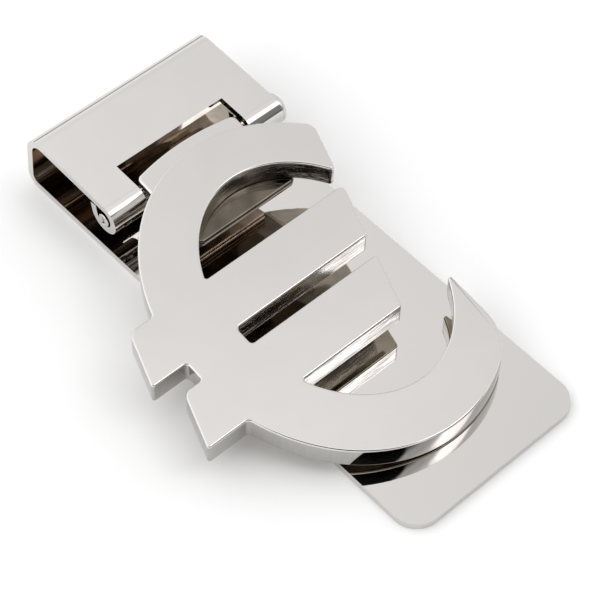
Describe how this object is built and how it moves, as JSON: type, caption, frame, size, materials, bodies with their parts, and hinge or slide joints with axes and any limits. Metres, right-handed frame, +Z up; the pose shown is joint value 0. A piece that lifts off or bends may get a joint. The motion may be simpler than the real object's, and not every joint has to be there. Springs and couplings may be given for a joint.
{
  "type": "money clip",
  "caption": "Hinged money clip: folded spring strip with rolled knuckles, a hinge pin and a lever that carries a thick currency-sign emblem and closes on the base plate.",
  "frame": {"origin": "centre of the base plate's underside", "axes": "+X from the folded end to the free end, +Y to the right of the sign read from above, +Z up from the base plate to the emblem"},
  "size_m": [0.0618, 0.036, 0.0102],
  "materials": {
    "body_plate": "mirror-polished bright nickel plate",
    "pin_plate": "plated over a turned pin, fine turning marks",
    "strap_plate": "plated sheet with rough cut ends",
    "lever_plate": "mirror-polished bright nickel plate",
    "emblem_plate": "mirror-polished top face, sawn walls with fine streaks under the plating"
  },
  "bodies": {
    "base": {"spring_body": "body_plate", "hinge_pin": "pin_plate"},
    "lever": {"hinge_strap": "strap_plate", "lever_plate": "lever_plate", "emblem": "emblem_plate"}
  },
  "joints": [
    {"name": "lever_hinge", "type": "hinge", "parent": "base", "child": "lever", "pos_m": [-0.01725, 0, 0.00551], "axis": [0, -1, 0], "range_deg": [0, 76]}
  ]
}
